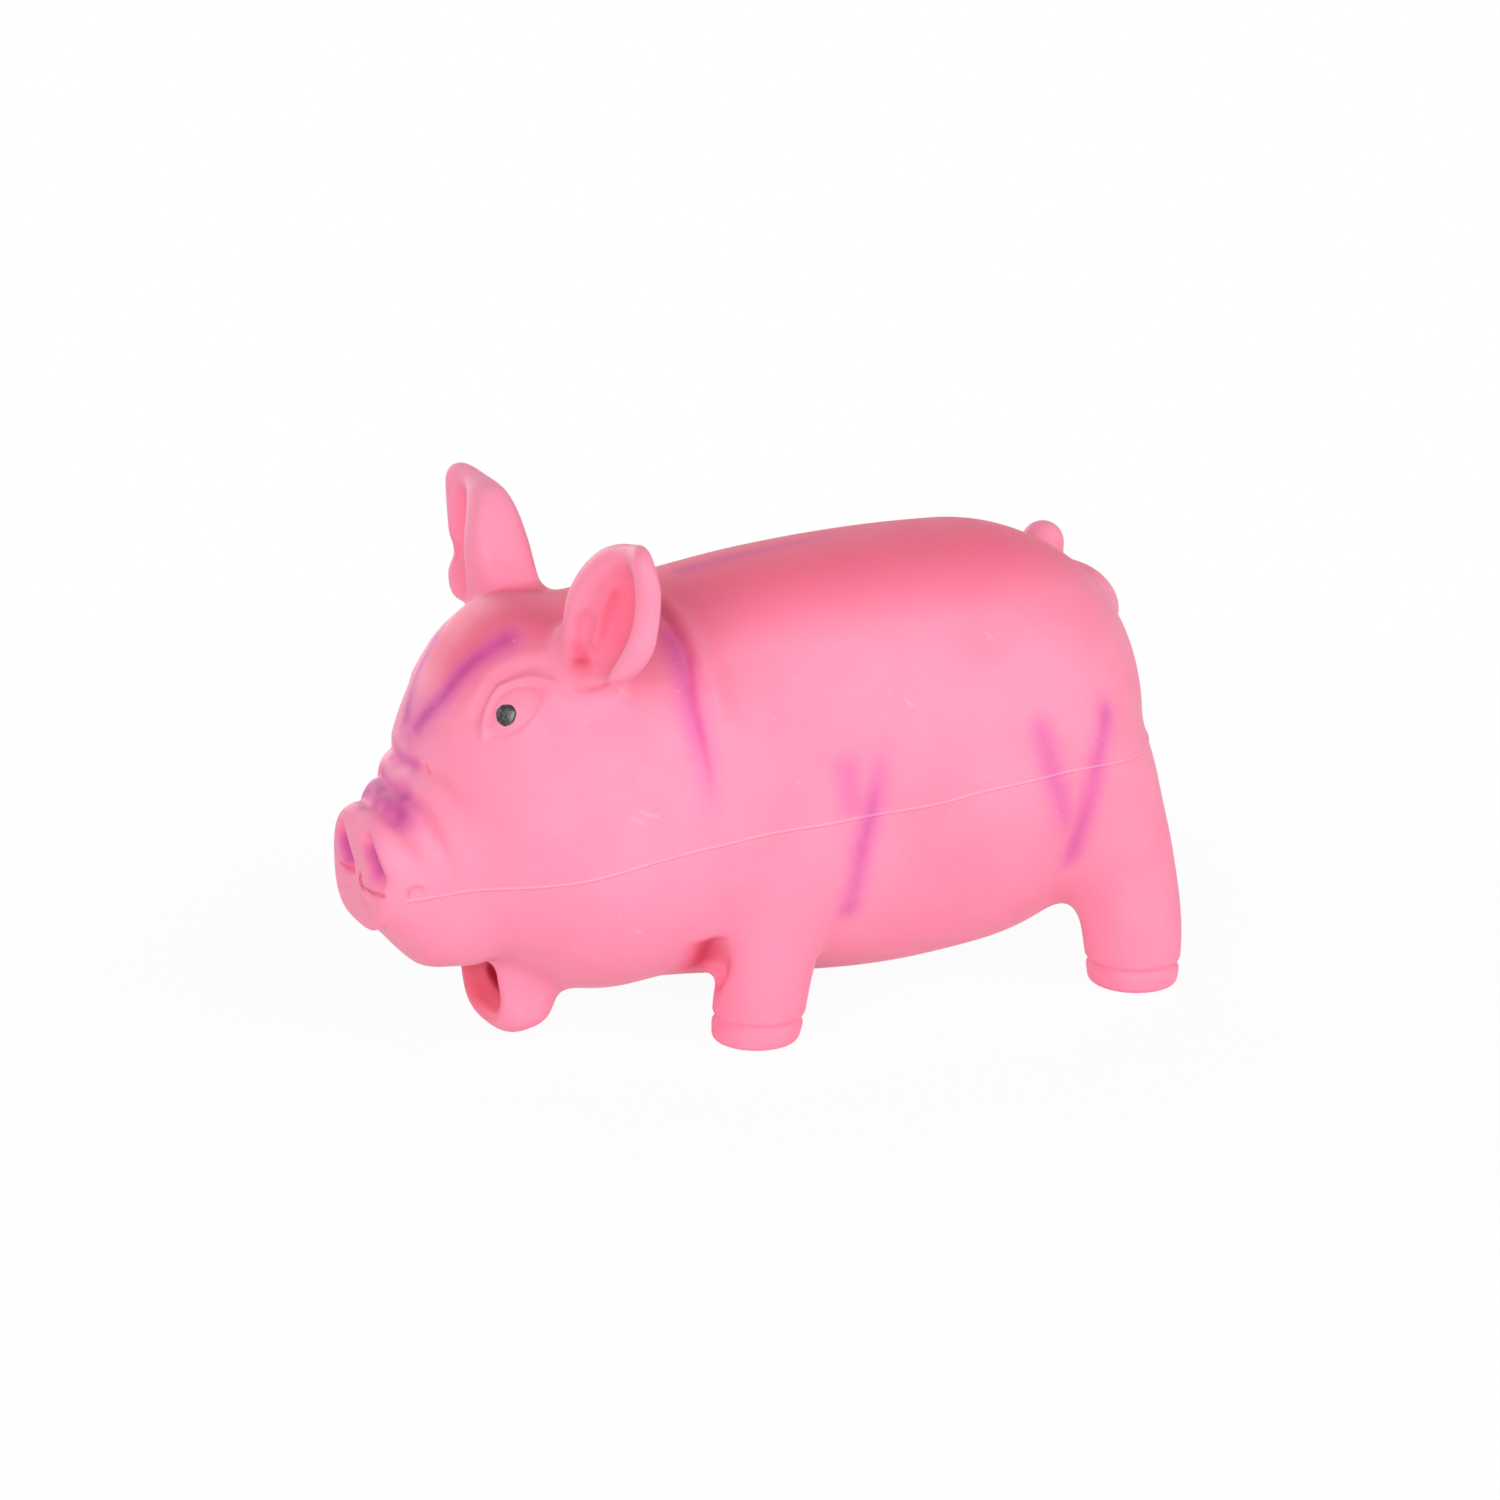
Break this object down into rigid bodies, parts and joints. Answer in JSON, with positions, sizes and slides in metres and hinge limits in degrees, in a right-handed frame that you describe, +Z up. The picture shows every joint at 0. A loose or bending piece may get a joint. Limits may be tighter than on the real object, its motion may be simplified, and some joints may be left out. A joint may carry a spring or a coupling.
{
  "type": "latex squeeze toy pig",
  "caption": "Hollow latex pig squeeze toy that stands on its hooves, with bending ears, lip and tail and a reed voice in the throat that grunts through the open mouth.",
  "frame": {"origin": "on the floor under the middle of the pig's length and width", "axes": "+X from the snout to the rump, so the pig faces -X; +Y to the pig's right; +Z up"},
  "size_m": [0.1976, 0.111, 0.122],
  "materials": {
    "latex_skin": "satin pink latex with airbrushed purple streaks",
    "eye_paint": "glossy black paint dot",
    "fibre": "loose white polyester fibre",
    "voice_plastic": "natural moulded polyethylene",
    "reed_film": "smooth amber film strip"
  },
  "bodies": {
    "pig": {"torso_skin": "latex_skin", "head_skin": "latex_skin", "snout_skin": "latex_skin", "leg_front_left": "latex_skin", "leg_front_right": "latex_skin", "leg_rear_left": "latex_skin", "leg_rear_right": "latex_skin", "eye_left": "eye_paint", "eye_right": "eye_paint", "fibre_filling": "fibre", "voice_barrel": "voice_plastic", "reed_block": "voice_plastic", "reed_clamp": "voice_plastic", "inlet_cap": "voice_plastic"},
    "jaw": {"lower_jaw": "latex_skin"},
    "ear_left": {"ear_left": "latex_skin"},
    "ear_right": {"ear_right": "latex_skin"},
    "tail": {"tail": "latex_skin"},
    "reed": {"reed": "reed_film"}
  },
  "joints": [
    {"name": "jaw_close", "type": "hinge", "parent": "pig", "child": "jaw", "pos_m": [-0.06076, 0, 0.01666], "axis": [0, 1, 0], "range_deg": [-8, 40], "stiffness_Nm_per_rad": 0.08},
    {"name": "ear_left_flop", "type": "hinge", "parent": "pig", "child": "ear_left", "pos_m": [-0.0503, -0.02707, 0.0908], "axis": [0.9675, -0.2276, -0.1098], "range_deg": [-25, 30], "stiffness_Nm_per_rad": 0.06},
    {"name": "ear_right_flop", "type": "hinge", "parent": "pig", "child": "ear_right", "pos_m": [-0.0503, 0.02707, 0.0908], "axis": [-0.9675, -0.2276, 0.1098], "range_deg": [-25, 30], "stiffness_Nm_per_rad": 0.06},
    {"name": "tail_wag", "type": "hinge", "parent": "pig", "child": "tail", "pos_m": [0.08671, 0, 0.08788], "axis": [0.8432, 0, 0.5377], "range_deg": [-30, 30], "stiffness_Nm_per_rad": 0.04},
    {"name": "reed_flutter", "type": "hinge", "parent": "pig", "child": "reed", "pos_m": [-0.05846, 0, 0.03089], "axis": [0, -1, 0], "range_deg": [-2.5, 5], "stiffness_Nm_per_rad": 0.0017}
  ]
}
